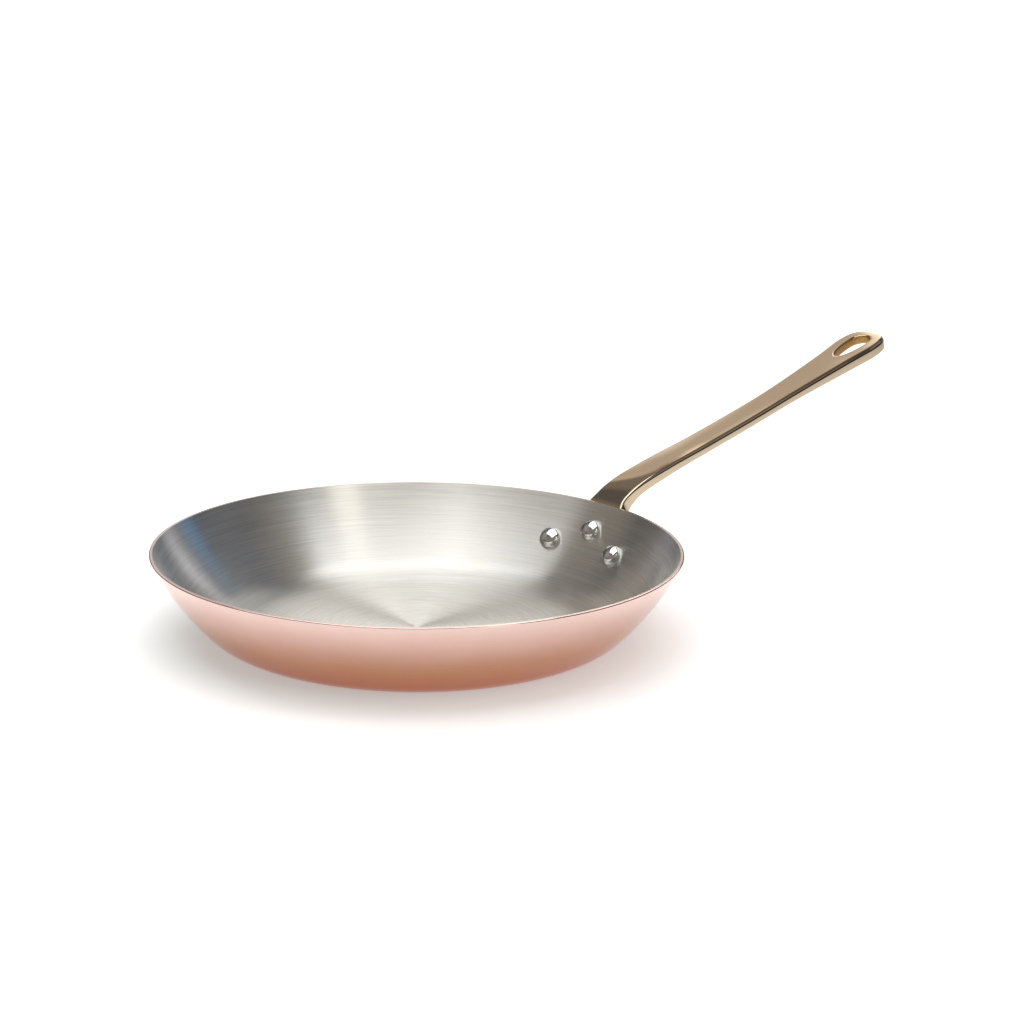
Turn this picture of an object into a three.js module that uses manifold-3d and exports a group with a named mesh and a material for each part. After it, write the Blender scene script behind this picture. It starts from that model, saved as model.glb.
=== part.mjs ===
// A copper frying pan: a copper shell lined with steel, and a cast brass handle held on by three rivets.
// Millimetres, +Z up. The origin is the centre of the base, and the handle runs out along +X.

import * as THREE from "three";
import { mergeVertices } from "three/addons/utils/BufferGeometryUtils.js";
import Module from "manifold-3d";

const wasm = await Module();
wasm.setup();

const { degToRad, lerp } = THREE.MathUtils;
const quarterTurn = Math.PI / 2;

// The pan: a flat base, then a knee and a flaring wall that are both round in section
const rimRadius = 140;
const panHeight = 46.2;
const kneeRadius = 26.4;
const kneeTurn = degToRad(45);
const wallRadius = 147;
const sheetThickness = 2;
const liningThickness = 0.2;
const bondGap = 0.05;
const rimRound = 0.6;

// The rivets, by their height up the wall and their angle from the handle; their heads are inside the pan
const rivets = {
  rivet_top: { height: 32, angle: 0 },
  rivet_left: { height: 24, angle: degToRad(11.2) },
  rivet_right: { height: 24, angle: degToRad(-11.2) },
};
const headRadius = 5.6;
const headSkirt = 0.8;
const headDome = 4.8;
const shankRadius = 3;
const tailRadius = 4.8;
const tailDome = 1.8;
const seatGap = 0.3;

// The handle's foot: a plate with a lobe at each lower rivet, which follows the outside of the wall
const footThickness = 4.8;
const footLobe = 10.5;
const footArch = 3.5;
const footNeck = 12.5;
const footNeckStart = 12;
const footLowest = 12;
const footHighest = 43;

// The handle's bar, from the foot to where its round end starts: the middle of the top face,
// with half the width, the thickness and the round of the top edges there
const barStations = [
  { x: 134.6, z: 37, half: 12.5, thick: 4.6, round: 2 },
  { x: 138.5, z: 43.4, half: 13.4, thick: 8, round: 2 },
  { x: 144, z: 49.1, half: 11.3, thick: 8.3, round: 2 },
  { x: 155, z: 55.3, half: 10.9, thick: 6.9, round: 2 },
  { x: 181, z: 63.2, half: 10.5, thick: 6.4, round: 2 },
  { x: 220, z: 72.35, half: 9.9, thick: 5.75, round: 2.05 },
  { x: 277, z: 87, half: 9.8, thick: 5.7, round: 2.25 },
  { x: 335.4, z: 104.1, half: 12.6, thick: 7.2, round: 3.2 },
  { x: 356.5, z: 110.5, half: 14.7, thick: 7.6, round: 3.3 },
];
const barCrown = 0.4;
const barLowRound = 1.5;
const barHollow = 0.2; // how deep the underside is hollowed, as a share of the thickness
const hollowPower = 4;
const endLength = 20;
const endPower = 3;

// The hanging eye, measured along the bar from where the round end starts; its edges flare out at both faces
const eyeNarrowEnd = -16.6;
const eyeWidest = 6.5;
const eyeWideEnd = 13.6;
const eyeHalf = 6.4;
const eyeBluntness = 3.6;
const eyeShoulder = -7;
const eyeTopFlare = 1;
const eyeLowFlare = 1.8;

// How finely the round forms are cut
const panSides = 72;
const kneeSteps = 5;
const wallSteps = 5;
const roundSteps = 3;
const rivetSides = 24;
const domeSteps = 5;
const outlineSteps = 8;
const barSteps = 34;
const endSteps = 8;

const copperThickness = sheetThickness - liningThickness - bondGap;
const kneeRise = kneeRadius * (1 - Math.cos(kneeTurn));
const rimTurn = Math.acos(Math.cos(kneeTurn) - (panHeight - kneeRise) / wallRadius);
const wallReach = wallRadius * (Math.sin(rimTurn) - Math.sin(kneeTurn));
const baseRadius = rimRadius - wallReach - kneeRadius * Math.sin(kneeTurn);
const kneeCentre = new THREE.Vector2(baseRadius, kneeRadius);
const wallCentre = new THREE.Vector2(
  kneeCentre.x + (kneeRadius - wallRadius) * Math.sin(kneeTurn),
  kneeCentre.y - (kneeRadius - wallRadius) * Math.cos(kneeTurn),
);

const copper = new THREE.MeshStandardMaterial({ color: 0xe0a184, roughness: 0.15, metalness: 1 });
const steel = new THREE.MeshStandardMaterial({ color: 0xc8c6c1, roughness: 0.35, metalness: 1 });
const brass = new THREE.MeshStandardMaterial({ color: 0xc9ad7f, roughness: 0.18, metalness: 1 });
const rivetSteel = new THREE.MeshStandardMaterial({ color: 0xd8d8d6, roughness: 0.08, metalness: 1 });

// A geometry as a closed solid that can be cut and joined
function solidOf(geometry, place = new THREE.Matrix4()) {
  const bare = new THREE.BufferGeometry();
  bare.setAttribute("position", geometry.getAttribute("position").clone());
  bare.setIndex(geometry.index);
  const merged = mergeVertices(bare.applyMatrix4(place));
  const corners = merged.index.array;
  const kept = [];
  for (let i = 0; i < corners.length; i += 3) {
    const [a, b, c] = corners.slice(i, i + 3);
    if (a !== b && b !== c && c !== a) kept.push(a, b, c);
  }
  const vertProperties = merged.getAttribute("position").array;
  const triVerts = new Uint32Array(kept);
  return new wasm.Manifold(new wasm.Mesh({ numProp: 3, vertProperties, triVerts }));
}

function meshOf(name, solid, material) {
  const { vertProperties, triVerts } = solid.getMesh();
  const geometry = new THREE.BufferGeometry();
  geometry.setAttribute("position", new THREE.BufferAttribute(vertProperties, 3));
  geometry.setIndex(new THREE.BufferAttribute(triVerts, 1));
  geometry.computeVertexNormals();
  const mesh = new THREE.Mesh(geometry, material);
  mesh.name = name;
  return mesh;
}

// A section of radius and height, turned about the vertical axis
function turned(section, sides = panSides) {
  return new THREE.LatheGeometry(section, sides).rotateX(quarterTurn);
}

function arcPoints(centre, radius, from, to, steps = roundSteps) {
  const points = [];
  for (let i = 0; i <= steps; i++) {
    const angle = lerp(from, to, i / steps);
    const spoke = new THREE.Vector2(Math.cos(angle), Math.sin(angle));
    points.push(spoke.multiplyScalar(radius).add(centre));
  }
  return points;
}

// Half an outline, with its mirror image across the x axis
function mirroredShape(half) {
  const points = half.getPoints(outlineSteps);
  const mirrored = points.slice(1, -1).reverse();
  return new THREE.Shape([...points, ...mirrored.map((p) => new THREE.Vector2(p.x, -p.y))]);
}

// A point of the pan's section. The turn is 0 at the edge of the base and grows up the wall,
// and the depth is measured inwards from the outer face.
function sheetPoint(turn, depth) {
  const onKnee = turn <= kneeTurn;
  const centre = onKnee ? kneeCentre : wallCentre;
  const radius = (onKnee ? kneeRadius : wallRadius) - depth;
  return new THREE.Vector2(centre.x + radius * Math.sin(turn), centre.y - radius * Math.cos(turn));
}

// The turn at which the wall reaches a height
function wallTurn(height, depth) {
  return Math.acos((wallCentre.y - height) / (wallRadius - depth));
}

function wallLine(depth, fromTurn, toTurn) {
  const points = [];
  for (let i = 0; i <= wallSteps; i++) {
    points.push(sheetPoint(lerp(fromTurn, toTurn, i / wallSteps), depth));
  }
  return points;
}

// The whole section's line at one depth, from the middle of the base to the top of the wall
function sheetLine(depth, topTurn = wallTurn(panHeight, depth)) {
  const points = [new THREE.Vector2(0, depth)];
  for (let i = 0; i < kneeSteps; i++) points.push(sheetPoint((kneeTurn * i) / kneeSteps, depth));
  return [...points, ...wallLine(depth, kneeTurn, topTurn)];
}

// The copper shell: its rim is cut flat, and the rim's outer edge is rounded
function copperSolid() {
  const edgeTurn = wallTurn(panHeight - rimRound, rimRound);
  const edgeCentre = sheetPoint(edgeTurn, rimRound);
  const edge = arcPoints(edgeCentre, rimRound, edgeTurn - quarterTurn, quarterTurn);
  const outside = sheetLine(0, edgeTurn).slice(0, -1);
  const inside = sheetLine(copperThickness).reverse();
  return solidOf(turned([...outside, ...edge, ...inside]));
}

// The steel lining, bonded to the whole inside of the copper
function liningSolid() {
  const back = sheetLine(sheetThickness - liningThickness);
  const face = sheetLine(sheetThickness).reverse();
  return solidOf(turned([...back, ...face]));
}

// The room that the handle leaves for the pan
function panRoom() {
  const top = panHeight + seatGap;
  const outside = sheetLine(-seatGap, wallTurn(top, -seatGap));
  return solidOf(turned([...outside, new THREE.Vector2(0, top)]));
}

// Where a rivet sits: its x axis runs up the wall, and its z axis points into the pan, square to the wall
function rivetPlace({ height, angle }) {
  const turn = wallTurn(height, sheetThickness);
  const seat = sheetPoint(turn, sheetThickness);
  const place = new THREE.Matrix4().makeRotationZ(angle);
  place.multiply(new THREE.Matrix4().makeTranslation(seat.x, 0, seat.y));
  return place.multiply(new THREE.Matrix4().makeRotationY(-turn));
}

function domePoints(radius, seat, rise) {
  const points = [];
  for (let i = 0; i < domeSteps; i++) {
    const angle = (quarterTurn * i) / domeSteps;
    points.push(new THREE.Vector2(radius * Math.cos(angle), seat + rise * Math.sin(angle)));
  }
  return [...points, new THREE.Vector2(0, seat + rise)];
}

// A rivet along its own axis, from the lining's face: a domed head, a shank and a low formed tail
function rivetSolid() {
  const tailSeat = -(sheetThickness + seatGap + footThickness + seatGap);
  const tail = domePoints(tailRadius, tailSeat, -tailDome).reverse();
  const shank = [
    new THREE.Vector2(shankRadius, tailSeat),
    new THREE.Vector2(shankRadius, seatGap),
    new THREE.Vector2(headRadius, seatGap),
  ];
  const head = domePoints(headRadius, seatGap + headSkirt, headDome);
  return solidOf(turned([...tail, ...shank, ...head], rivetSides));
}

// The solid less a clearance hole for each rivet
function drilled(solid) {
  const radius = shankRadius + seatGap;
  const length = 6 * footThickness;
  const drill = new THREE.CylinderGeometry(radius, radius, length, rivetSides).rotateX(quarterTurn);
  const holes = Object.values(rivets).map((rivet) => solidOf(drill, rivetPlace(rivet)));
  return holes.reduce((left, hole) => left.subtract(hole), solid);
}

// The foot: its outline, laid against the wall with x up the wall, cut out of a band that follows the wall
function footSolid() {
  const place = rivetPlace(rivets.rivet_top);
  const lobe = new THREE.Vector3().setFromMatrixPosition(rivetPlace(rivets.rivet_left));
  lobe.applyMatrix4(place.clone().invert());
  const lowest = lobe.x - footLobe;
  const highest = lobe.x + footLobe;
  const half = new THREE.Path();
  half.moveTo(lowest + footArch, 0);
  half.bezierCurveTo(lowest + footArch, lobe.y / 2, lowest, lobe.y / 2, lowest, lobe.y);
  half.absarc(lobe.x, lobe.y, footLobe, Math.PI, 0, true);
  half.quadraticCurveTo(highest, footNeck, footNeckStart, footNeck);
  half.lineTo(3 * footNeckStart, footNeck);
  half.lineTo(3 * footNeckStart, 0);
  const depth = 6 * footThickness;
  const prism = new THREE.ExtrudeGeometry(mirroredShape(half), { depth, bevelEnabled: false });
  prism.translate(0, 0, -depth / 2);

  const faceDepth = -(seatGap + footThickness);
  const face = wallLine(faceDepth, wallTurn(footLowest, faceDepth), wallTurn(footHighest, faceDepth));
  const back = wallLine(0, wallTurn(footLowest, 0), wallTurn(footHighest, 0)).reverse();
  const band = turned([...face, ...back, face[0]]);
  return solidOf(band).intersect(solidOf(prism, place));
}

// Half of the bar's section as distances across and up: a crowned top face that runs into a round edge,
// then the side, and a hollow underside
function barSection({ x: half, y: thick, z: round }) {
  const slope = Math.atan2(2 * barCrown, half - round);
  const topCentre = new THREE.Vector2(half - round, -barCrown - round * Math.cos(slope));
  const lowCentre = new THREE.Vector2(half - barLowRound, -thick + barLowRound);
  const hollow = (share) =>
    new THREE.Vector2(lowCentre.x * share, thick * (barHollow * (1 - share ** hollowPower) - 1));
  return [
    new THREE.Vector2(0, 0),
    new THREE.Vector2(half / 2, -barCrown / 4),
    ...arcPoints(topCentre, round, quarterTurn - slope, 0),
    ...arcPoints(lowCentre, barLowRound, 0, -quarterTurn),
    hollow(2 / 3),
    hollow(0),
  ];
}

// A closed ring: half a section and its mirror image, put in place by a function of across and up
function ringOf(section, spot) {
  const right = section.map((p) => spot(p.x, p.y));
  const left = section.slice(1, -1).map((p) => spot(-p.x, p.y));
  return [...right, ...left.reverse()];
}

// A skin over a row of rings, with a flat cap on the first; the last ring has closed to a line
function loft(rings) {
  const sides = rings[0].length;
  const faces = [];
  for (let j = 1; j + 1 < sides; j++) faces.push(0, j, j + 1);
  for (let i = 0; i + 1 < rings.length; i++) {
    for (let j = 0; j < sides; j++) {
      const a = i * sides + j;
      const b = i * sides + ((j + 1) % sides);
      faces.push(a, a + sides, b, b, a + sides, b + sides);
    }
  }
  const geometry = new THREE.BufferGeometry().setFromPoints(rings.flat());
  geometry.setIndex(faces);
  return geometry;
}

// The frame of the bar's top face at a place along it: x along, y across, z up
function barFrame(spine, t) {
  const along = spine.getTangent(t);
  const across = new THREE.Vector3(0, 1, 0);
  const frame = new THREE.Matrix4().makeBasis(along, across, along.clone().cross(across));
  return frame.setPosition(spine.getPoint(t));
}

// The bar: sections along its spine, then a round end drawn in to a line
function barSolid(spine) {
  const girths = barStations.map((s) => new THREE.Vector3(s.half, s.thick, s.round));
  const girth = new THREE.CatmullRomCurve3(girths);
  const rings = [];
  for (let i = 0; i <= barSteps; i++) {
    const frame = barFrame(spine, i / barSteps);
    const spot = (y, z) => new THREE.Vector3(0, y, z).applyMatrix4(frame);
    rings.push(ringOf(barSection(girth.getPoint(i / barSteps)), spot));
  }
  const section = barSection(girths.at(-1));
  const { half } = barStations.at(-1);
  const frame = barFrame(spine, 1);
  for (let i = 1; i <= endSteps; i++) {
    const angle = (quarterTurn * i) / endSteps;
    const drawnIn = i < endSteps ? Math.cos(angle) ** (2 / endPower) : 0;
    const reach = Math.sin(angle) ** (2 / endPower);
    const spot = (y, z) => {
      const along = reach * (endLength - half + Math.abs(y));
      return new THREE.Vector3(along, y * drawnIn, z).applyMatrix4(frame);
    };
    rings.push(ringOf(section, spot));
  }
  return solidOf(loft(rings));
}

// The eye: a hole through the bar, which widens over the flare's depth at either face
function eyeSolid(spine) {
  const half = new THREE.Path();
  half.moveTo(eyeNarrowEnd, 0);
  half.bezierCurveTo(eyeNarrowEnd, eyeBluntness, eyeShoulder, eyeHalf, eyeWidest, eyeHalf);
  half.absellipse(eyeWidest, 0, eyeWideEnd - eyeWidest, eyeHalf, quarterTurn, 0, true);
  const outline = mirroredShape(half);
  const { thick } = barStations.at(-1);
  const flared = (flare) => {
    const bevel = { bevelSize: flare, bevelThickness: flare, bevelSegments: 1 };
    return new THREE.ExtrudeGeometry(outline, { depth: thick, ...bevel });
  };
  const hole = new THREE.ExtrudeGeometry(outline, { depth: 2 * thick, bevelEnabled: false });
  const cutters = [
    hole.translate(0, 0, -1.5 * thick),
    flared(eyeTopFlare),
    flared(eyeLowFlare).rotateX(Math.PI).translate(0, 0, thick * (barHollow - 1)),
  ];
  const frame = barFrame(spine, 1);
  return cutters.map((cutter) => solidOf(cutter, frame)).reduce((all, cutter) => all.add(cutter));
}

// The handle: foot and bar cast in one piece, fitted to the pan, with its eye and its rivet holes
function handleSolid() {
  const spine = new THREE.CatmullRomCurve3(barStations.map((s) => new THREE.Vector3(s.x, 0, s.z)));
  const casting = footSolid().add(barSolid(spine)).subtract(panRoom());
  return drilled(casting.subtract(eyeSolid(spine)));
}

const pan = new THREE.Group();
pan.add(meshOf("copper_body", drilled(copperSolid()), copper));
pan.add(meshOf("steel_lining", drilled(liningSolid()), steel));
pan.add(meshOf("handle", handleSolid(), brass));
for (const [name, rivet] of Object.entries(rivets)) {
  const mesh = meshOf(name, rivetSolid(), rivetSteel);
  mesh.applyMatrix4(rivetPlace(rivet));
  pan.add(mesh);
}

export default pan;
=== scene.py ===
import bmesh
import bpy
from math import acos, atan2, cos, pi, radians, sin
from mathutils import Matrix, Vector


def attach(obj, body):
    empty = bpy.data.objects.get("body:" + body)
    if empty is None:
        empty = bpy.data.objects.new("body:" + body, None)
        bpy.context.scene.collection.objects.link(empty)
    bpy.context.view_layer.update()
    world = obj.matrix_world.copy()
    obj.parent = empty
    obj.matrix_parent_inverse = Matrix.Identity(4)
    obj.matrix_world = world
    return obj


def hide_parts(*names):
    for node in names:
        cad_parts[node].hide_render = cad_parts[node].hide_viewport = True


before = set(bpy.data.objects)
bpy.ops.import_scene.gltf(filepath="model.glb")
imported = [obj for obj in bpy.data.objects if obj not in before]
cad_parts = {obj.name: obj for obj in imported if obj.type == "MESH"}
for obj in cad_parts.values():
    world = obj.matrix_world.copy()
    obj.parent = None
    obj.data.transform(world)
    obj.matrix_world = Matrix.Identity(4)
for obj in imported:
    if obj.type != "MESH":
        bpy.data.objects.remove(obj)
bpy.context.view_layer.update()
mm = 0.001
weldDistance = 0.0005 * mm
creaseAngle = radians(35)
print("frame loaded")


# Shader maths

class Wire:  # a socket that can be used in sums
    def __init__(self, socket):
        self.socket = socket

    def maths(self, operation, *terms):
        tree = self.socket.id_data
        node = tree.nodes.new("ShaderNodeMath")
        node.operation = operation
        for place, term in zip(node.inputs, terms):
            if isinstance(term, Wire):
                tree.links.new(term.socket, place)
            else:
                place.default_value = term
        return Wire(node.outputs[0])

    def __add__(self, other):
        return self.maths("ADD", self, other)

    def __radd__(self, other):
        return self.maths("ADD", other, self)

    def __sub__(self, other):
        return self.maths("SUBTRACT", self, other)

    def __rsub__(self, other):
        return self.maths("SUBTRACT", other, self)

    def __mul__(self, other):
        return self.maths("MULTIPLY", self, other)

    def __rmul__(self, other):
        return self.maths("MULTIPLY", other, self)

    def __truediv__(self, other):
        return self.maths("DIVIDE", self, other)

    def __pow__(self, other):
        return self.maths("POWER", self, other)

    def __abs__(self):
        return self.maths("ABSOLUTE", self)

    def angleFrom(self, other):
        return self.maths("ARCTAN2", self, other)

    def clamped(self):
        return self.maths("MAXIMUM", self.maths("MINIMUM", self, 1), 0)

    def sharpened(self, contrast):
        return ((self - 0.5) * contrast + 0.5).clamped()


class Finish:  # the nodes of a material or of the world
    def __init__(self, owner):
        owner.use_nodes = True
        self.owner = owner
        self.tree = owner.node_tree
        self.tree.nodes.clear()

    def node(self, kind, settings=None, inputs=None, output=0):
        node = self.tree.nodes.new(kind)
        for name, value in (settings or {}).items():
            if name == "stops":
                ramp = node.color_ramp
                while len(ramp.elements) < len(value):
                    ramp.elements.new(1)
                for element, (place, colour) in zip(ramp.elements, value):
                    element.position = place
                    element.color = colour
            else:
                setattr(node, name, value)
        for name, value in (inputs or {}).items():
            if isinstance(value, Wire):
                self.tree.links.new(value.socket, node.inputs[name])
            else:
                node.inputs[name].default_value = value
        return Wire(node.outputs[output]) if len(node.outputs) else None

    def split(self, vector):
        parts = self.tree.nodes.new("ShaderNodeSeparateXYZ")
        self.tree.links.new(vector.socket, parts.inputs[0])
        return [Wire(socket) for socket in parts.outputs]

    def place(self):
        return self.node("ShaderNodeTexCoord", None, None, "Object")

    def noise(self, x, y, z, detail=2, roughness=0.5):
        vector = self.node("ShaderNodeCombineXYZ", None, {0: x, 1: y, 2: z})
        return self.node("ShaderNodeTexNoise", None, {
            "Vector": vector, "Scale": 1, "Detail": detail, "Roughness": roughness})

    def grains(self, size, detail, roughness=0.5):
        x, y, z = self.split(self.place())
        return self.noise(x * size, y * size, z * size, detail, roughness)

    def mix(self, share, first, second):
        return self.node("ShaderNodeMix", {"data_type": "RGBA"}, {
            "Factor": share, 6: (*first, 1), 7: (*second, 1)}, 2)

    def bump(self, height, distance):
        return self.node("ShaderNodeBump", None, {"Height": height, "Distance": distance, "Strength": 1})

    def metal(self, inputs):
        return self.node("ShaderNodeBsdfPrincipled", None, {"Metallic": 1, **inputs})

    def blend(self, share, first, second):
        return self.node("ShaderNodeMixShader", None, {0: share, 1: first, 2: second})

    def surface(self, shader, output="ShaderNodeOutputMaterial"):
        self.node(output, None, {"Surface": shader})
        return self.owner


def paint(piece, material):
    piece.data.materials.clear()
    piece.data.materials.append(material)


# Modelling

def deselectAll():
    if bpy.context.object and bpy.context.object.mode != "OBJECT":
        bpy.ops.object.mode_set(mode="OBJECT")
    bpy.ops.object.select_all(action="DESELECT")


def pick(piece):
    deselectAll()
    piece.select_set(True)
    bpy.context.view_layer.objects.active = piece


def named(name):
    piece = bpy.context.object
    piece.name = name
    piece.data.name = name
    return piece


def tidyMesh(smoothAngle=creaseAngle):
    bpy.ops.object.mode_set(mode="EDIT")
    bpy.ops.mesh.select_all(action="SELECT")
    bpy.ops.mesh.remove_doubles(threshold=weldDistance)
    bpy.ops.mesh.normals_make_consistent(inside=False)
    bpy.ops.object.mode_set(mode="OBJECT")
    bpy.ops.object.shade_smooth_by_angle(angle=smoothAngle)


# A closed section of radius and height, extruded point by point and spun about the upright axis
def spinSection(name, section, steps):
    deselectAll()
    first = section[0]
    bpy.ops.mesh.primitive_plane_add(size=mm, location=(first.x, 0, first.y))
    piece = named(name)
    bpy.ops.object.transform_apply(location=True, rotation=False, scale=False)
    bpy.ops.object.mode_set(mode="EDIT")
    bpy.ops.mesh.select_all(action="SELECT")
    bpy.ops.mesh.merge(type="CENTER")
    for here, there in zip(section, section[1:]):
        step = (there.x - here.x, 0, there.y - here.y)
        bpy.ops.mesh.extrude_vertices_move(TRANSFORM_OT_translate={"value": step})
    bpy.ops.mesh.select_all(action="SELECT")
    bpy.ops.mesh.spin(steps=steps, angle=2 * pi, center=(0, 0, 0), axis=(0, 0, 1))
    bpy.ops.object.mode_set(mode="OBJECT")
    tidyMesh()
    return piece


# A skin over a row of rings: the first is filled, and each further one is extruded from the one before.
# A last ring that has closed on itself loses its face.
def loftRings(name, rings, closedEnd=False):
    deselectAll()
    bpy.ops.mesh.primitive_circle_add(vertices=len(rings[0]), radius=mm, fill_type="NGON")
    piece = named(name)
    bpy.ops.object.mode_set(mode="EDIT")
    bpy.ops.mesh.select_all(action="SELECT")
    for i, ring in enumerate(rings):
        if i:
            bpy.ops.mesh.extrude_region_move()
        mesh = bmesh.from_edit_mesh(piece.data)
        chosen = [v for v in mesh.verts if v.select]
        for vert, spot in zip(chosen, ring):
            vert.co = spot
        bmesh.update_edit_mesh(piece.data)
    if closedEnd:
        bpy.ops.mesh.delete(type="ONLY_FACE")
    bpy.ops.object.mode_set(mode="OBJECT")
    tidyMesh()
    return piece


def applyModifier(piece, kind, **settings):
    pick(piece)
    bpy.ops.object.modifier_add(type=kind)
    modifier = piece.modifiers[-1]
    for name, value in settings.items():
        setattr(modifier, name, value)
    bpy.ops.object.modifier_apply(modifier=modifier.name)


def lerp(a, b, share):
    return a + (b - a) * share


def arcPoints(centre, radius, start, end, steps):
    angles = [lerp(start, end, i / steps) for i in range(steps + 1)]
    return [centre + radius * Vector((cos(a), sin(a))) for a in angles]


# A smooth line through stations, eased by the square root of their spacing
def throughStations(stations, stepsPerSpan):
    before = 2 * stations[0] - stations[1]
    after = 2 * stations[-1] - stations[-2]
    row = [before, *stations, after]
    line = []
    for p0, p1, p2, p3 in zip(row, row[1:], row[2:], row[3:]):
        d0, d1, d2 = ((b - a).length ** 0.5 for a, b in ((p0, p1), (p1, p2), (p2, p3)))
        out = ((p1 - p0) / d0 - (p2 - p0) / (d0 + d1) + (p2 - p1) / d1) * d1
        into = ((p2 - p1) / d1 - (p3 - p1) / (d1 + d2) + (p3 - p2) / d2) * d1
        for i in range(stepsPerSpan):
            t = i / stepsPerSpan
            bend = (2 * t**3 - 3 * t**2 + 1) * p1 + (3 * t**2 - 2 * t**3) * p2
            line.append(bend + (t**3 - 2 * t**2 + t) * out + (t**3 - t**2) * into)
    return [*line, stations[-1]]


# The pan's section

pan = {
    "rimRadius": 140 * mm,
    "height": 46.2 * mm,
    "kneeRadius": 26.4 * mm,
    "kneeTurn": radians(45),
    "wallRadius": 147 * mm,
    "sheet": 2 * mm,
    "lining": 0.2 * mm,
    "bond": 0.01 * mm,
    "rimRound": 0.6 * mm,
    "edgeHold": 0.15 * mm,
    "around": 288,
    "kneeSteps": 14,
    "wallSteps": 26,
    "roundSteps": 6,
    "floorRings": 5,
}
kneeRise = pan["kneeRadius"] * (1 - cos(pan["kneeTurn"]))
rimTurn = acos(cos(pan["kneeTurn"]) - (pan["height"] - kneeRise) / pan["wallRadius"])
wallReach = pan["wallRadius"] * (sin(rimTurn) - sin(pan["kneeTurn"]))
baseRadius = pan["rimRadius"] - wallReach - pan["kneeRadius"] * sin(pan["kneeTurn"])
kneeCentre = Vector((baseRadius, pan["kneeRadius"]))
centreShift = pan["kneeRadius"] - pan["wallRadius"]
wallCentre = kneeCentre + centreShift * Vector((sin(pan["kneeTurn"]), -cos(pan["kneeTurn"])))


# A point of the section: the turn grows up the wall, and the depth goes in from the outer face
def sheetPoint(turn, depth):
    onKnee = turn <= pan["kneeTurn"]
    centre = kneeCentre if onKnee else wallCentre
    radius = (pan["kneeRadius"] if onKnee else pan["wallRadius"]) - depth
    return centre + radius * Vector((sin(turn), -cos(turn)))


def wallTurn(height, depth):
    return acos((wallCentre.y - height) / (pan["wallRadius"] - depth))


# The section's line at one depth, from the middle of the base up to a turn of the wall
def sheetLine(depth, topTurn):
    rings = pan["floorRings"]
    line = [Vector((baseRadius * i / rings, depth)) for i in range(rings)]
    knee = pan["kneeSteps"]
    line += [sheetPoint(pan["kneeTurn"] * i / knee, depth) for i in range(knee)]
    hold = topTurn - pan["edgeHold"] / pan["wallRadius"]
    steps = pan["wallSteps"]
    line += [sheetPoint(lerp(pan["kneeTurn"], hold, i / steps), depth) for i in range(steps + 1)]
    return [*line, sheetPoint(topTurn, depth)]


# The rim is cut level, and its outer edge is eased to a small round
def makeCopper():
    ease = pan["rimRound"]
    edgeTurn = wallTurn(pan["height"] - ease, ease)
    edgeCentre = sheetPoint(edgeTurn, ease)
    edge = arcPoints(edgeCentre, ease, edgeTurn - pi / 2, pi / 2, pan["roundSteps"])
    held = edge[-1] - Vector((pan["edgeHold"], 0))
    inner = pan["sheet"] - pan["lining"] - pan["bond"]
    outside = sheetLine(0, edgeTurn)[:-1]
    inside = sheetLine(inner, wallTurn(pan["height"], inner))
    return spinSection("copper_pan", [*outside, *edge, held, *reversed(inside)], pan["around"])


def makeLining():
    back = pan["sheet"] - pan["lining"]
    outside = sheetLine(back, wallTurn(pan["height"], back))
    inside = sheetLine(pan["sheet"], wallTurn(pan["height"], pan["sheet"]))
    return spinSection("steel_face", [*outside, *reversed(inside)], pan["around"])


# The rivets

rivet = {
    "places": {
        "rivet_top": (32 * mm, 0),
        "rivet_left": (24 * mm, radians(11.2)),
        "rivet_right": (24 * mm, radians(-11.2)),
    },
    "headRadius": 6.25 * mm,
    "headSkirt": 0.6 * mm,
    "headDome": 3.7 * mm,
    "headFullness": 2.15,
    "skirtRound": 0.25 * mm,
    "skirtSteps": 4,
    "shankRadius": 3 * mm,
    "tailRadius": 4.8 * mm,
    "tailDome": 1.8 * mm,
    "tailFullness": 2,
    "tailSink": 0.1 * mm,
    "seat": 0.05 * mm,
    "around": 64,
    "domeSteps": 24,
}


# Where a rivet sits: x runs up the wall, and z points into the pan, square to the wall
def rivetPlace(height, angle):
    turn = wallTurn(height, pan["sheet"])
    seat = sheetPoint(turn, pan["sheet"])
    spot = Matrix.Translation((seat.x, 0, seat.y))
    return Matrix.Rotation(angle, 4, "Z") @ spot @ Matrix.Rotation(-turn, 4, "Y")


# Half of a dome's section, from its edge to its top; a fullness of 2 is round
def dome(radius, seat, rise, fullness):
    steps = rivet["domeSteps"]
    power = 2 / fullness
    angles = [pi / 2 * i / steps for i in range(steps)]
    line = [Vector((radius * cos(a) ** power, seat + rise * sin(a) ** power)) for a in angles]
    return [*line, Vector((0, seat + rise))]


def makeRivets():
    tailSeat = -(pan["sheet"] + handle["footGap"] + handle["footThickness"] - rivet["tailSink"])
    tail = dome(rivet["tailRadius"], tailSeat, -rivet["tailDome"], rivet["tailFullness"])
    shank = [Vector((rivet["shankRadius"], z)) for z in (tailSeat, rivet["seat"])]
    ease = rivet["skirtRound"]
    corner = Vector((rivet["headRadius"] - ease, rivet["seat"] + ease))
    skirt = arcPoints(corner, ease, -pi / 2, 0, rivet["skirtSteps"])
    headSeat = rivet["seat"] + rivet["headSkirt"]
    head = dome(rivet["headRadius"], headSeat, rivet["headDome"], rivet["headFullness"])
    model = spinSection("rivet_model", [*reversed(tail), *shank, *skirt, *head], rivet["around"])
    made = []
    for name, (height, angle) in rivet["places"].items():
        pick(model)
        bpy.ops.object.duplicate(linked=False)
        piece = named(name + "_polished")
        piece.matrix_world = rivetPlace(height, angle)
        bpy.ops.object.transform_apply(location=True, rotation=True, scale=True)
        made.append((piece, name))
    bpy.data.objects.remove(model)
    return made


# The handle

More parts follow.
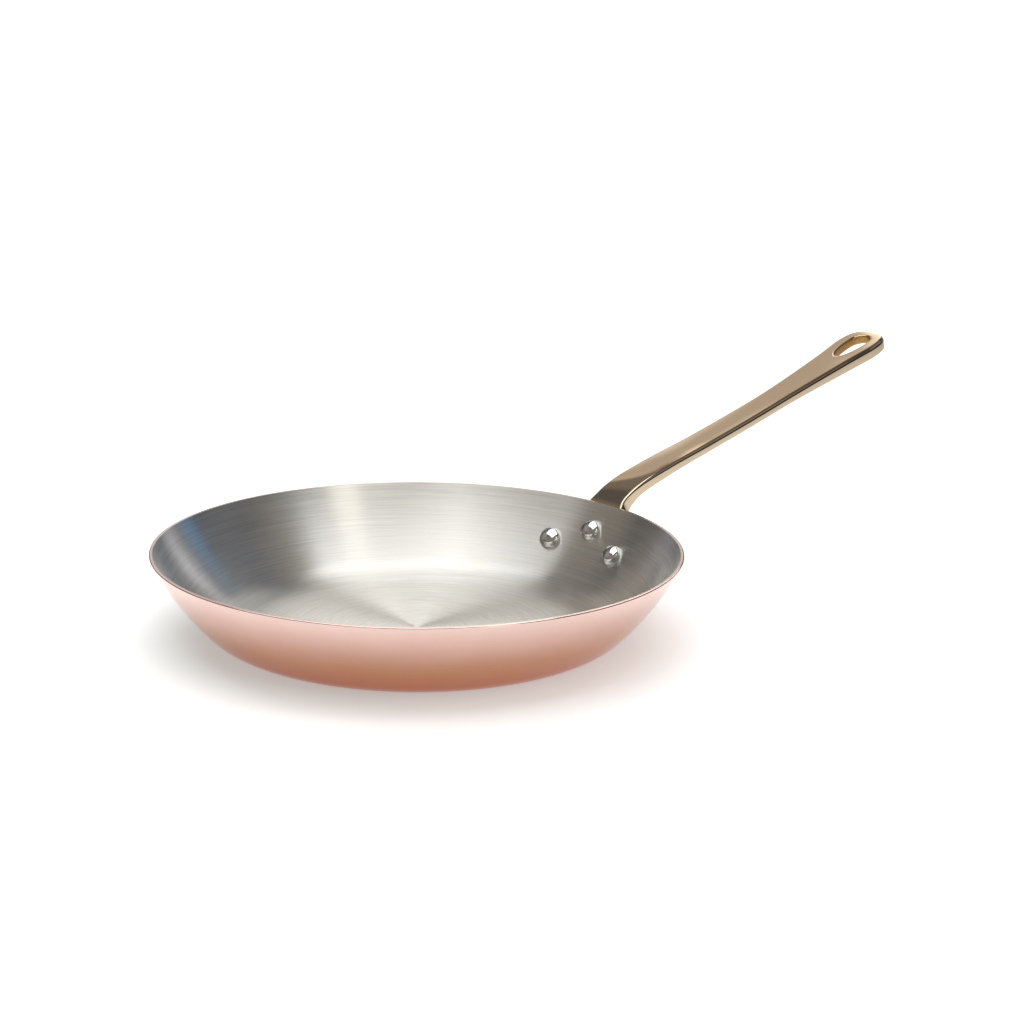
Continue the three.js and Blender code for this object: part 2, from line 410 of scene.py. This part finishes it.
handle = {
    "stations": (  # x and z of the top face; half width, thickness, round of the top edges, crown
        (134.6, 37, 12.5, 4.6, 1, 0.12),
        (138.5, 43.4, 13.4, 8, 1, 0.12),
        (144, 49.1, 11.3, 8.3, 1.1, 0.16),
        (155, 55.3, 10.9, 6.9, 1.4, 0.3),
        (181, 63.2, 10.5, 6.4, 1.8, 0.36),
        (220, 72.35, 9.9, 5.75, 2, 0.32),
        (277, 87, 9.8, 5.7, 2.05, 0.22),
        (335.4, 104.1, 12.6, 7.2, 2.4, 0.12),
        (356.5, 110.5, 14.7, 7.6, 2.4, 0.08),
    ),
    "lowRound": 1.5 * mm,
    "hollow": 0.2,  # how deep the underside is hollowed, as a share of the thickness
    "hollowPower": 4,
    "edgeHold": 0.15 * mm,
    "roundSteps": 8,
    "faceSteps": 8,
    "underSteps": 8,
    "stepsPerSpan": 14,
    "endLength": 20 * mm,
    "endPower": 3,
    "endRound": 0.5,  # the round of the end's edge, as a share of the sides'
    "endSteps": 28,
    "footThickness": 4.8 * mm,
    "footGap": 0.3 * mm,
}


# Half of the bar's section, across and up, from the middle of the top to the middle of the underside
def barSection(half, thick, top, crown):
    low = handle["lowRound"]
    hold = handle["edgeHold"]
    slope = atan2(2 * crown, half - top)
    flat = half - top * (1 - sin(slope))
    face = [(flat - hold) * i / handle["faceSteps"] for i in range(handle["faceSteps"] + 1)]
    topCentre = Vector((half - top, -crown - top * cos(slope)))
    lowCentre = Vector((half - low, low - thick))
    shares = [i / handle["underSteps"] for i in range(handle["underSteps"])]
    power = handle["hollowPower"]
    under = [Vector((lowCentre.x * s, thick * (handle["hollow"] * (1 - s**power) ** 2 - 1))) for s in shares]
    return [
        *(Vector((y, -crown * (y / flat) ** 2)) for y in face),
        *arcPoints(topCentre, top, pi / 2 - slope, 0, handle["roundSteps"]),
        *arcPoints(lowCentre, low, 0, -pi / 2, handle["roundSteps"]),
        *reversed(under),
    ]


def ringOf(section, spot):
    right = [spot(p.x, p.y) for p in section]
    left = [spot(-p.x, p.y) for p in section[1:-1]]
    return [*right, *reversed(left)]


def barFrame(point, along):
    up = along.cross(Vector((0, 1, 0)))
    return Matrix((
        (along.x, 0, up.x, point.x),
        (along.y, 1, up.y, point.y),
        (along.z, 0, up.z, point.z),
        (0, 0, 0, 1),
    ))


spineStations = [Vector((x, 0, z)) * mm for x, z, *_ in handle["stations"]]
girthStations = [Vector(girth) * mm for _, _, *girth in handle["stations"]]
spine = throughStations(spineStations, handle["stepsPerSpan"])
girths = throughStations(girthStations, handle["stepsPerSpan"])
endAlong = (spine[-1] - spine[-2]).normalized()
endFrame = barFrame(spine[-1], endAlong)


def makeBar():
    rings = []
    for i, (point, girth) in enumerate(zip(spine, girths)):
        ahead = spine[min(i + 1, len(spine) - 1)]
        behind = spine[max(i - 1, 0)]
        place = barFrame(point, (ahead - behind).normalized())
        rings.append(ringOf(barSection(*girth), lambda y, z: place @ Vector((0, y, z))))
    half = girths[-1].x
    power = 2 / handle["endPower"]
    for i in range(1, handle["endSteps"] + 1):
        angle = pi / 2 * i / handle["endSteps"]
        drawnIn = max(cos(angle), 0) ** power if i < handle["endSteps"] else 0
        reach = sin(angle) ** power

        def spot(y, z):
            along = reach * (handle["endLength"] - (half - abs(y)) * handle["endRound"])
            return endFrame @ Vector((along, y * drawnIn, z))

        rings.append(ringOf(barSection(*girths[-1]), spot))
    return loftRings("brass_handle", rings, closedEnd=True)


def bezier(ends, share):
    row = ends
    while len(row) > 1:
        row = [lerp(a, b, share) for a, b in zip(row, row[1:])]
    return row[0]


def grown(loop, distance):
    moved = []
    for behind, point, ahead in zip([loop[-1], *loop], loop, [*loop[1:], loop[0]]):
        along = (ahead - behind).normalized()
        moved.append(point + distance * Vector((-along.y, along.x)))
    return moved


foot = {  # laid out flat: along is up the wall from the upper rivet, and across is round the wall
    "lobe": 10.5 * mm,
    "arch": 3.5 * mm,
    "neck": 12.5 * mm,
    "neckStart": 12 * mm,
    "top": 14 * mm,
    "edgeRound": 1.8 * mm,
    "backRound": 0.4 * mm,
    "outlineSteps": 12,
    "roundSteps": 5,
    "grain": 0.7 * mm,
    "stubRings": 26,
    "stubInset": 0.3 * mm,
    "easing": 10,
    "easeFactor": 0.5,
    "creaseAngle": radians(60),
    "clearance": 0.08 * mm,
}


# The foot's outline: a lobe round each lower rivet, an arch between them and a neck that leads up to the bar
def footOutline():
    height, angle = rivet["places"]["rivet_left"]
    topHeight, _ = rivet["places"]["rivet_top"]
    turn = wallTurn(height, 0)
    lobe = Vector(((turn - wallTurn(topHeight, 0)) * pan["wallRadius"], sheetPoint(turn, 0).x * angle))
    lowest = lobe.x - foot["lobe"]
    highest = lobe.x + foot["lobe"]
    steps = foot["outlineSteps"]
    arch = [Vector((lowest + foot["arch"], 0)), Vector((lowest + foot["arch"], lobe.y / 2)),
            Vector((lowest, lobe.y / 2)), Vector((lowest, lobe.y))]
    neck = [Vector((highest, lobe.y)), Vector((highest, foot["neck"])),
            Vector((foot["neckStart"], foot["neck"]))]
    half = [bezier(arch, i / steps) for i in range(steps)]
    half += arcPoints(lobe, foot["lobe"], pi, 0, 2 * steps)[:-1]
    half += [bezier(neck, i / steps) for i in range(steps + 1)]
    half += [Vector((foot["top"], foot["neck"])), Vector((foot["top"], 0))]
    return [*half, *(Vector((p.x, -p.y)) for p in reversed(half[1:-1]))]


def onWall(along, across, out):
    topHeight, _ = rivet["places"]["rivet_top"]
    turn = wallTurn(topHeight, 0) + along / pan["wallRadius"]
    angle = across / sheetPoint(turn, 0).x
    spot = sheetPoint(turn, -out)
    return Vector((spot.x * cos(angle), spot.x * sin(angle), spot.y))


def remesh(piece):
    applyModifier(piece, "REMESH", mode="VOXEL", voxel_size=foot["grain"])


# The foot is cast with the start of the bar: one skin over both rounds the corners between them
def makeFoot():
    outline = footOutline()
    back, edge = foot["backRound"], foot["edgeRound"]
    thick = handle["footThickness"]
    rows = [(back, 0), (0, back)]
    for i in range(foot["roundSteps"] + 1):
        angle = pi / 2 * i / foot["roundSteps"]
        rows.append((edge * (1 - cos(angle)), thick - edge * (1 - sin(angle))))
    rings = [[Vector((p.x, p.y, z)) for p in grown(outline, -inset)] for inset, z in rows]
    plate = loftRings("foot_plate", rings)
    remesh(plate)
    for vert in plate.data.vertices:
        along, across, out = vert.co
        vert.co = onWall(along, across, out + handle["footGap"])

    inset = foot["stubInset"]
    rings = []
    for i in range(foot["stubRings"]):
        half, thick, top, crown = girths[i]
        place = barFrame(spine[i], (spine[i + 1] - spine[max(i - 1, 0)]).normalized())
        section = barSection(half - inset, thick - 2 * inset, top, crown)
        rings.append(ringOf(section, lambda y, z: place @ Vector((0, y, z - inset))))
    stub = loftRings("foot_stub", rings)
    pick(plate)
    stub.select_set(True)
    bpy.ops.object.join()
    remesh(plate)
    applyModifier(plate, "SMOOTH", factor=foot["easeFactor"], iterations=foot["easing"])
    tidyMesh(foot["creaseAngle"])
    return plate


# The room that the handle leaves for the pan
def makePanRoom():
    gap = foot["clearance"]
    top = pan["height"] + gap
    outside = sheetLine(-gap, wallTurn(top, -gap))
    return spinSection("pan_room", [*outside, Vector((0, top))], pan["around"])


def combine(piece, tool, operation):
    applyModifier(piece, "BOOLEAN", object=tool, operation=operation, solver="EXACT")
    bpy.data.objects.remove(tool)


eye = {  # measured along the bar from where the round end starts
    "narrowEnd": -16.6 * mm,
    "widest": 6.5 * mm,
    "wideEnd": 13.6 * mm,
    "half": 6.4 * mm,
    "bluntness": 3.6 * mm,
    "shoulder": -7 * mm,
    "topFlare": 1 * mm,
    "lowFlare": 1.8 * mm,
    "flareTurn": 0.92,  # as a share of a quarter turn
    "flareOver": 0.5,
    "overcut": 3 * mm,
    "steps": 22,
    "flareSteps": 6,
}


def eyeOutline(flare):
    steps = eye["steps"]
    narrow = eye["narrowEnd"]
    side = [Vector((narrow, 0)), Vector((narrow, eye["bluntness"])), Vector((eye["shoulder"], eye["half"])),
            Vector((eye["widest"], eye["half"]))]
    half = [bezier(side, i / steps) for i in range(steps)]
    reach = eye["wideEnd"] - eye["widest"]
    for i in range(steps + 1):
        angle = pi / 2 * (1 - i / steps)
        half.append(Vector((eye["widest"] + reach * cos(angle), eye["half"] * sin(angle))))
    return grown([*half, *(Vector((p.x, -p.y)) for p in reversed(half[1:-1]))], flare)


# The tool that cuts the eye: straight in the middle, and flaring round to both faces
def makeEyeTool():
    depth = girths[-1].y * (1 - handle["hollow"])
    levels = []
    for i in range(eye["flareSteps"] + 1):
        angle = pi / 2 * eye["flareTurn"] * i / eye["flareSteps"]
        levels.append((1 - cos(angle), sin(angle)))
    reach = eye["overcut"]
    over = levels[-1][0] + eye["flareOver"]
    rows = [(eye["topFlare"] * over, reach)]
    rows += [(eye["topFlare"] * out, eye["topFlare"] * (up - 1)) for out, up in reversed(levels)]
    rows += [(eye["lowFlare"] * out, eye["lowFlare"] * (1 - up) - depth) for out, up in levels]
    rows += [(eye["lowFlare"] * over, -depth - reach)]
    rings = [[endFrame @ Vector((p.x, p.y, z)) for p in eyeOutline(out)] for out, z in rows]
    return loftRings("eye_tool", rings)


def makeHandle():
    bar = makeBar()
    combine(bar, makeFoot(), "UNION")
    combine(bar, makePanRoom(), "DIFFERENCE")
    combine(bar, makeEyeTool(), "DIFFERENCE")
    pick(bar)
    tidyMesh()
    return bar


copperPan = makeCopper()
steelFace = makeLining()
print("pan turned")
brassHandle = makeHandle()
print("handle made")
rivetPieces = makeRivets()
print("rivets set")


# Finishes

axisGuard = 1e-5  # keeps a point on the axis from being divided by zero


# Noise that follows a turned surface: round the axis by cosine and sine, and along the section
def turnedNoise(finish, spread, pitch, detail, roughness=0.5):
    x, y, z = finish.split(finish.place())
    radius = (x * x + y * y) ** 0.5 + axisGuard
    return finish.noise(x / radius * spread, y / radius * spread, (radius + z) * pitch, detail, roughness)


# A level that a noise moves up and down by a share of itself
def uneven(level, noise, share):
    return level * (1 - share / 2 + noise * share)


copperLook = {
    "shadeAndSheenTones": (  # by height: deeper towards the base, paler at the rim; the deep base is painted shade for the shadowed floor that the wall mirrors, and the pale rim is a painted sheen
        (0.12, (0.62, 0.255, 0.155, 1)),
        (0.4, (0.69, 0.38, 0.24, 1)),
        (0.62, (0.77, 0.505, 0.415, 1)),
        (0.95, (0.88, 0.66, 0.6, 1)),
    ),
    "cloudTone": 0.12,
    "streakTone": 0.08,
    "roughness": 0.1,
    "unevenness": 0.8,
    "streaks": 1100,
    "streakSpread": 3,
    "streakDepth": 0.0006 * mm,
    "clouds": 55,
}


def copperFinish():
    look = copperLook
    finish = Finish(bpy.data.materials.new("polished_copper"))
    streaks = turnedNoise(finish, look["streakSpread"], look["streaks"], 3, 0.6)
    clouds = finish.grains(look["clouds"], 3)
    x, y, z = finish.split(finish.place())
    # height sets the painted shade low on the wall and the painted sheen near the rim; clouds and streaks
    # vary the tone at random
    tone = z / pan["height"] + (clouds - 0.5) * look["cloudTone"] + (streaks - 0.5) * look["streakTone"]
    return finish.surface(finish.metal({
        "Base Color": finish.node("ShaderNodeValToRGB", {"stops": look["shadeAndSheenTones"]}, {"Fac": tone}),
        "Roughness": uneven(look["roughness"], lerp(clouds, streaks, 0.5), look["unevenness"]),
        "Normal": finish.bump(streaks, look["streakDepth"]),
    }))


liningLook = {
    "light": (0.9, 0.885, 0.835),
    "dark": (0.66, 0.65, 0.62),
    "lines": 2300,
    "lineSpread": 5,
    "lineShare": 0.6,
    "streaks": 700,
    "streakSpread": 2.4,
    "contrast": 3,
    "grainDepth": 0.004 * mm,
    "roughness": 0.34,
    "floorRoughness": 0.45,
    "floorFade": 12 * mm,
    "unevenness": 0.3,
    "anisotropy": 1,
    "brushTurn": 0.25,  # brushed round the axis
    "scuffs": 60,
    "scuffSpread": 1.2,
    "scuffRoughness": 0.62,
    "scuffed": 0.42,
    "scuffWithin": 78 * mm,
    "scuffFade": 16 * mm,
}


def liningFinish():
    look = liningLook
    finish = Finish(bpy.data.materials.new("brushed_lining"))
    lines = turnedNoise(finish, look["lineSpread"], look["lines"], 3, 0.65)
    streaks = turnedNoise(finish, look["streakSpread"], look["streaks"], 2)
    swirls = turnedNoise(finish, look["scuffSpread"], look["scuffs"], 3, 0.6)
    grain = lerp(streaks, lines, look["lineShare"]).sharpened(look["contrast"])
    x, y, z = finish.split(finish.place())
    radius = (x * x + y * y) ** 0.5
    upWall = ((radius - baseRadius) / look["floorFade"]).clamped()
    inMiddle = (1 - (radius - look["scuffWithin"]) / look["scuffFade"]).clamped()
    rough = lerp(look["floorRoughness"], look["roughness"], upWall)
    steel = {
        "Base Color": finish.mix(grain, look["dark"], look["light"]),
        "Normal": finish.bump(grain, look["grainDepth"]),
    }
    brushed = finish.metal({
        **steel,
        "Roughness": uneven(rough, grain, look["unevenness"]),
        "Anisotropic": look["anisotropy"],
        "Anisotropic Rotation": look["brushTurn"],
    })
    scuffed = finish.metal({
        **steel,
        "Roughness": uneven(look["scuffRoughness"], grain, look["unevenness"]),
    })
    return finish.surface(finish.blend(uneven(inMiddle * look["scuffed"], swirls, 1), brushed, scuffed))


brassLook = {
    "light": (0.66, 0.54, 0.395),
    "toned": (0.595, 0.48, 0.345),
    "clouds": 70,
    "cloudShare": 0.6,
    "lines": 1500,
    "lineStretch": 40,
    "lineDepth": 0.0006 * mm,
    "slope": 0.27,
    "roughness": 0.075,
    "unevenness": 0.8,
    # inside the eye: darkened colours, painted shade in the hole, over a pitted grain
    "castShadedLight": (0.62, 0.38, 0.12),
    "castShadedDark": (0.28, 0.15, 0.06),
    "castGrain": 1100,
    "castContrast": 2.5,
    "castDepth": 0.05 * mm,
    "castRoughness": 0.42,
    "castUnevenness": 0.6,
    "eyeReach": 1.4,  # the eye's measure is cut off here, where 1 is its edge
    "eyeEdge": 1.16,
    "eyeFade": 0.12,
}


# Polished all over; inside the eye the brass is rougher, and its darker colours there are painted shade in
# the hole
def brassFinish():
    look = brassLook
    finish = Finish(bpy.data.materials.new("polished_brass"))
    x, y, z = finish.split(finish.place())
    level = z - x * look["slope"]
    lines = finish.noise(x * look["lineStretch"], y * look["lines"], level * look["lines"], 3, 0.6)
    clouds = finish.grains(look["clouds"], 3)
    polished = finish.metal({
        "Base Color": finish.mix(lerp(lines, clouds, look["cloudShare"]), look["toned"], look["light"]),
        "Roughness": uneven(look["roughness"], lerp(clouds, lines, 0.5), look["unevenness"]),
        "Normal": finish.bump(lines, look["lineDepth"]),
    })
    pits = finish.grains(look["castGrain"], 4, 0.6)
    # the eye's wall: rough and pitted, with darkened colours that are painted shade in the hole
    roughAndShaded = finish.metal({
        "Base Color": finish.mix(pits.sharpened(look["castContrast"]), look["castShadedDark"], look["castShadedLight"]),
        "Roughness": uneven(look["castRoughness"], pits, look["castUnevenness"]),
        "Normal": finish.bump(pits, look["castDepth"]),
    })
    start = endFrame.translation
    along = (x - start.x) * endAlong.x + (z - start.z) * endAlong.z - eye["widest"]
    ring = y * y / eye["half"] ** 2
    for end in ("narrowEnd", "wideEnd"):
        part = (along / (eye[end] - eye["widest"]) / look["eyeReach"]).clamped() * look["eyeReach"]
        ring = ring + part * part
    inEye = ((look["eyeEdge"] - ring) / look["eyeFade"]).clamped()
    return finish.surface(finish.blend(inEye, polished, roughAndShaded))


rivetLook = {
    "light": (0.82, 0.82, 0.82),
    "dark": (0.74, 0.74, 0.75),
    "roughness": 0.12,
    "unevenness": 0.8,
    "marks": 900,
    "markDepth": 0.002 * mm,
}


def rivetFinish():
    look = rivetLook
    finish = Finish(bpy.data.materials.new("mirror_steel"))
    marks = finish.grains(look["marks"], 4, 0.6)
    return finish.surface(finish.metal({
        "Base Color": finish.mix(marks, look["dark"], look["light"]),
        "Roughness": uneven(look["roughness"], marks, look["unevenness"]),
        "Normal": finish.bump(marks, look["markDepth"]),
    }))


paint(copperPan, copperFinish())
paint(steelFace, liningFinish())
paint(brassHandle, brassFinish())
rivetSteel = rivetFinish()
for piece, node in rivetPieces:
    paint(piece, rivetSteel)
print("finishes laid on")

for piece, node, slot in (
    (copperPan, "copper_body", "copper"),
    (steelFace, "steel_lining", "lining_steel"),
    (brassHandle, "handle", "handle_brass"),
    *((piece, node, "rivet_steel") for piece, node in rivetPieces),
):
    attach(piece, "root")
    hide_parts(node)


# The studio: a white floor under soft boxes of light, in a room that is otherwise dim

floorLook = {
    "size": 60,
    "white": 0.9,
    "lift": 0.36,  # for the camera alone, so that the floor shows white
    "glossLift": 0.3,  # for mirrored rays alone
    # painted light: the floor glows more from openFrom outwards, centred off to shadowSide, which narrows
    # the pan's shadow for the camera and in mirrors
    "openLift": 0.14,
    "openFrom": 100 * mm,
    "openFade": 42 * mm,
    "shadowSide": (-11 * mm, 10 * mm),
    "farLift": 0.6,
    "farFrom": 220 * mm,
    "farFade": 700 * mm,
    # near the pan the floor is tinted cool for the camera alone: painted colour that cancels the warm light
    # the copper throws into its shadow
    "cool": (0.66, 0.91, 0.98),
    "coolWithin": 105 * mm,
    "coolFade": 35 * mm,
    "paperGrain": 300,
    "paperTone": 0.1,
}


def makeFloor():
    look = floorLook
    deselectAll()
    bpy.ops.mesh.primitive_plane_add(size=look["size"], location=(0, 0, 0))
    floor = named("studio_floor")
    material = bpy.data.materials.new("studio_white")
    material.cycles.emission_sampling = "NONE"
    finish = Finish(material)
    x, y, z = finish.split(finish.place())
    paper = finish.noise(x * look["paperGrain"], y * look["paperGrain"], z, 3)
    seen = finish.node("ShaderNodeLightPath", None, None, "Is Camera Ray")
    mirrored = finish.node("ShaderNodeLightPath", None, None, "Is Glossy Ray")
    sideX, sideY = look["shadowSide"]
    reach = ((x - sideX) * (x - sideX) + (y - sideY) * (y - sideY)) ** 0.5
    near = (1 - (reach - look["coolWithin"]) / look["coolFade"]).clamped()
    # painted light that trims the pan's shadow to a narrow ring
    clear = ((reach - look["openFrom"]) / look["openFade"]).clamped() * look["openLift"]
    far = ((reach - look["farFrom"]) / look["farFade"]).clamped() * look["farLift"]
    # painted cool tint in the pan's shadow, for camera rays only, over the paper grain
    tint = finish.mix(uneven(seen * near, paper, look["paperTone"]), (look["white"],) * 3, look["cool"])
    shade = finish.node("ShaderNodeBsdfDiffuse", None, {"Color": tint})
    strength = seen * (clear + far + look["lift"]) + mirrored * (clear + look["glossLift"])
    lift = finish.node("ShaderNodeEmission", None, {"Strength": strength})
    paint(floor, finish.surface(finish.node("ShaderNodeAddShader", None, {0: shade, 1: lift})))


roomLight = (0.047, 0.05, 0.055)
softBoxes = {  # azimuth and elevation; half the width and height; how it leans; its edge; its light
    "front_strip": (265, 14, 6.5, 30, 0, 2.5, (1.2, 1.15, 1.02)),
    "front_low": (251, 6, 9, 14, 0, 6, (0.8, 0.79, 0.7)),
    "front_dim": (215, 26, 60, 30, 0, 12, (0.18, 0.16, 0.12)),
    "right_dim": (328, 48, 16, 9, 0, 6, (0.14, 0.13, 0.12)),
    "right_fill": (342, 32, 14, 14, 0, 6, (0.1, 0.11, 0.15)),
    "top_dim": (10, 58, 50, 10, 0, 8, (0.12, 0.1, 0.08)),
    "back_right": (23, 37, 9, 7, 0, 4, (0.25, 0.25, 0.25)),
    "back_box": (38.5, 29, 6.5, 10, 0, 3, (2.3, 2.25, 2.15)),
    "back_rim": (45, 13, 6, 7, 0, 4, (0.5, 0.45, 0.38)),
    "back_panel": (60, 29, 20, 9, -14, 2, (0.5, 0.43, 0.36)),
    "back_glow": (54, 12, 8, 14, 0, 10, (0.56, 0.56, 0.58)),
    "back_left": (100, 40, 45, 18, 0, 6, (0.088, 0.083, 0.083)),
    "left_dim": (128, 22, 16, 22, 0, 10, (0.19, 0.155, 0.11)),
    "side_grey": (17, 18, 5, 8, 0, 2, (1.1, 1.1, 1.2)),
    "side_blue": (357, 14, 4, 10, 0, 2, (0.08, 0.34, 0.7)),
    "far_strip": (80, 6, 9, 8, 0, 4, (0.1, 0.13, 0.2)),
}


# How much of a soft box shows in each direction: 1 on the box, falling to 0 over its edge
def boxMask(direction, azimuth, elevation, halfWidth, halfHeight, lean, edge):
    x, y, z = direction
    ca, sa = cos(radians(azimuth)), sin(radians(azimuth))
    ce, se = cos(radians(elevation)), sin(radians(elevation))
    cl, sl = cos(radians(lean)), sin(radians(lean))
    toward = x * (ca * ce) + y * (sa * ce) + z * se
    level = y * ca - x * sa
    upright = z * ce - (x * ca + y * sa) * se
    across = (level * cl + upright * sl).angleFrom(toward)
    up = (upright * cl - level * sl).angleFrom(toward)
    soft = radians(edge)
    width = ((radians(halfWidth) - abs(across)) / soft + 0.5).clamped()
    return width * ((radians(halfHeight) - abs(up)) / soft + 0.5).clamped()


def lightRoom():
    world = bpy.data.worlds.new("studio")
    bpy.context.scene.world = world
    finish = Finish(world)
    direction = finish.split(finish.node("ShaderNodeTexCoord", None, None, "Generated"))
    glow = finish.node("ShaderNodeRGB")
    glow.socket.default_value = (*roomLight, 1)
    for *shape, light in softBoxes.values():
        mask = boxMask(direction, *shape)
        share = finish.node("ShaderNodeVectorMath", {"operation": "SCALE"}, {0: light, "Scale": mask})
        glow = finish.node("ShaderNodeVectorMath", {"operation": "ADD"}, {0: glow, 1: share})
    sky = finish.node("ShaderNodeBackground", None, {"Color": glow, "Strength": 1})
    finish.surface(sky, "ShaderNodeOutputWorld")


ceilingLamp = {
    "place": (-20 * mm, 70 * mm, 800 * mm),
    "turn": radians(-15),
    "width": 960 * mm,
    "length": 930 * mm,
    "light": 1.95,
}


def hangLamp():
    width, length = ceilingLamp["width"], ceilingLamp["length"]
    turn = (0, 0, ceilingLamp["turn"])
    bpy.ops.object.light_add(type="AREA", location=ceilingLamp["place"], rotation=turn)
    lamp = bpy.context.object.data
    lamp.shape = "RECTANGLE"
    lamp.size = width
    lamp.size_y = length
    lamp.energy = ceilingLamp["light"] * pi * width * length


# The camera, as the photograph was taken
view = {
    "place": Vector((-801.73, -909.384, 388.931)) * mm,
    "aim": Vector((0.667867, 0.698297, -0.257556)),
    "roll": radians(0.84),
    "lens": 84.375,
    "sensor": 36,
    "farthest": 100,
}


def placeCamera():
    bpy.ops.object.camera_add(location=view["place"])
    camera = named("photo_camera")
    camera.data.lens = view["lens"]
    camera.data.sensor_width = view["sensor"]
    camera.data.clip_end = view["farthest"]
    aimed = view["aim"].to_track_quat("-Z", "Y").to_matrix().to_4x4()
    rolled = aimed @ Matrix.Rotation(view["roll"], 4, "Z")
    camera.matrix_world = Matrix.Translation(view["place"]) @ rolled
    bpy.context.scene.camera = camera
    bpy.context.scene.view_settings.view_transform = "Standard"


makeFloor()
lightRoom()
hangLamp()
print("studio lit")
placeCamera()
print("camera placed")
